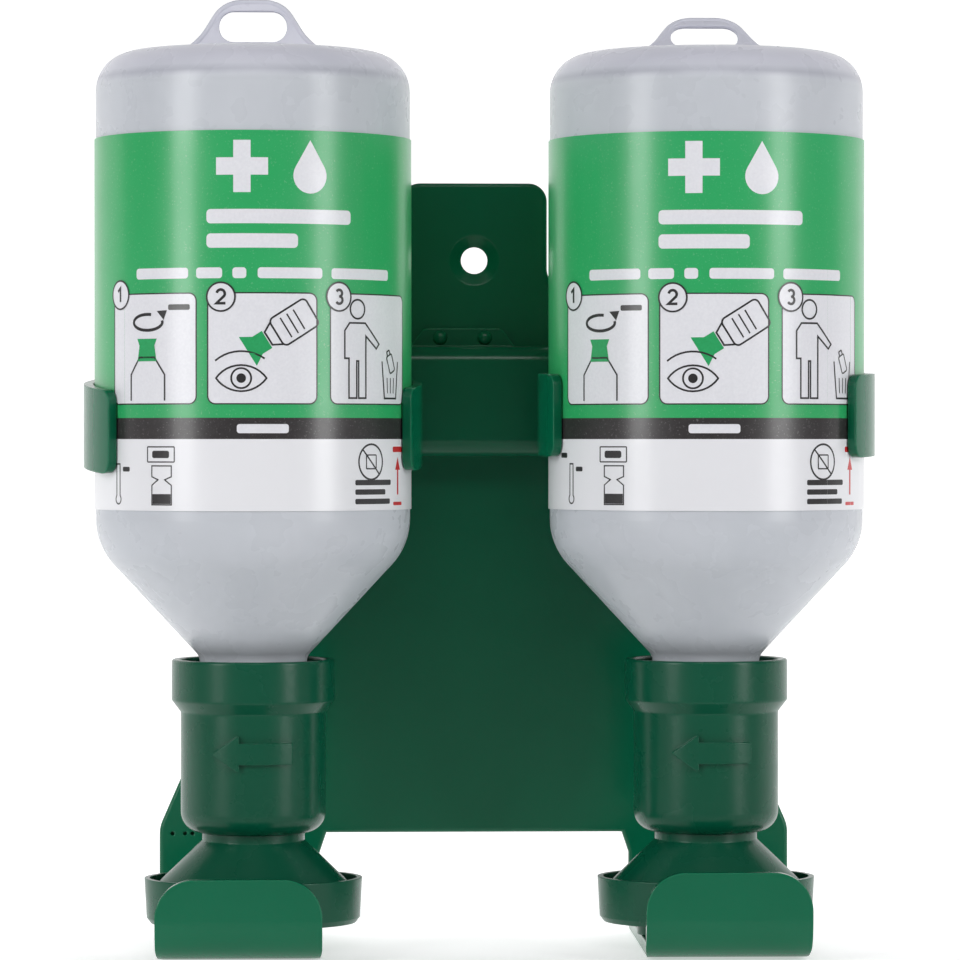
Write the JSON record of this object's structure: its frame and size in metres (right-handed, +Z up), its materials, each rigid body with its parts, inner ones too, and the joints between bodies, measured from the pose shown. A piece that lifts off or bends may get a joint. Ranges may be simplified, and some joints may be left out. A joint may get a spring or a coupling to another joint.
{
  "type": "eyewash station",
  "caption": "Wall bracket with spring clips and shelves that stores inverted eyewash bottles, each with a screw sleeve, oval eye cup, dust cap and hanger tab.",
  "frame": {"origin": "axis of the screw hole in the tongue, on the wall face", "axes": "+Z up, +X to the right as the user faces the station, +Y into the wall"},
  "size_m": [0.1884, 0.081, 0.226],
  "materials": {
    "bracket_plastic": "glossy moulded green sheet",
    "rivet_plastic": "glossy green",
    "bottle_plastic": "translucent milky polyethylene",
    "hanger_plastic": "translucent milky polyethylene",
    "saline_liquid": "clear liquid",
    "label_film": "printed film",
    "plug_plastic": "natural polyethylene",
    "sleeve_plastic": "satin moulded green",
    "washer_rubber": "soft black",
    "nozzle_plastic": "natural polypropylene",
    "cup_plastic": "satin moulded green",
    "dust_cap_plastic": "satin moulded green"
  },
  "bodies": {
    "bracket": {"back_plate": "bracket_plastic", "left_shelf": "bracket_plastic", "right_shelf": "bracket_plastic", "clip_bracket": "bracket_plastic", "clip_rivets": "rivet_plastic"},
    "left_dust_cap": {"left_dust_cap": "dust_cap_plastic"},
    "left_eye_cup": {"left_eye_cup": "cup_plastic", "left_nozzle_insert": "nozzle_plastic", "left_sealing_washer": "washer_rubber"},
    "left_screw_sleeve": {"left_screw_sleeve": "sleeve_plastic"},
    "left_bottle": {"left_bottle": "bottle_plastic", "left_saline": "saline_liquid", "left_label": "label_film", "left_neck_plug": "plug_plastic"},
    "left_hanger": {"left_hanger": "hanger_plastic"},
    "right_dust_cap": {"right_dust_cap": "dust_cap_plastic"},
    "right_eye_cup": {"right_eye_cup": "cup_plastic", "right_nozzle_insert": "nozzle_plastic", "right_sealing_washer": "washer_rubber"},
    "right_screw_sleeve": {"right_screw_sleeve": "sleeve_plastic"},
    "right_bottle": {"right_bottle": "bottle_plastic", "right_saline": "saline_liquid", "right_label": "label_film", "right_neck_plug": "plug_plastic"},
    "right_hanger": {"right_hanger": "hanger_plastic"}
  },
  "joints": [
    {"name": "left_lift", "type": "slide", "parent": "bracket", "child": "left_dust_cap", "axis": [0, 0, 1], "range_m": [0, 0.15]},
    {"name": "left_dust_cap_pull", "type": "slide", "parent": "left_dust_cap", "child": "left_eye_cup", "axis": [0, 0, 1], "range_m": [0, 0.02]},
    {"name": "left_sleeve_twist", "type": "hinge", "parent": "left_eye_cup", "child": "left_screw_sleeve", "pos_m": [-0.054, -0.0434, -0.12], "axis": [0, 0, -1], "range_deg": [0, 360]},
    {"name": "left_thread_advance", "type": "slide", "parent": "left_eye_cup", "child": "left_bottle", "axis": [0, 0, 1], "range_m": [0, 0.003]},
    {"name": "left_hanger_fold", "type": "hinge", "parent": "left_bottle", "child": "left_hanger", "pos_m": [-0.054, -0.0434, 0.04535], "axis": [-1, 0, 0], "range_deg": [-8, 82], "stiffness_Nm_per_rad": 0.002},
    {"name": "right_lift", "type": "slide", "parent": "bracket", "child": "right_dust_cap", "axis": [0, 0, 1], "range_m": [0, 0.15]},
    {"name": "right_dust_cap_pull", "type": "slide", "parent": "right_dust_cap", "child": "right_eye_cup", "axis": [0, 0, 1], "range_m": [0, 0.02]},
    {"name": "right_sleeve_twist", "type": "hinge", "parent": "right_eye_cup", "child": "right_screw_sleeve", "pos_m": [0.054, -0.0434, -0.12], "axis": [0, 0, -1], "range_deg": [0, 360]},
    {"name": "right_thread_advance", "type": "slide", "parent": "right_eye_cup", "child": "right_bottle", "axis": [0, 0, 1], "range_m": [0, 0.003]},
    {"name": "right_hanger_fold", "type": "hinge", "parent": "right_bottle", "child": "right_hanger", "pos_m": [0.054, -0.0434, 0.04535], "axis": [-1, 0, 0], "range_deg": [-40, 50], "stiffness_Nm_per_rad": 0.002}
  ],
  "couplings": [
    {"joint": "left_sleeve_twist", "follows": "left_thread_advance", "rad_per_m": 2094.4},
    {"joint": "right_sleeve_twist", "follows": "right_thread_advance", "rad_per_m": 2094.4}
  ]
}
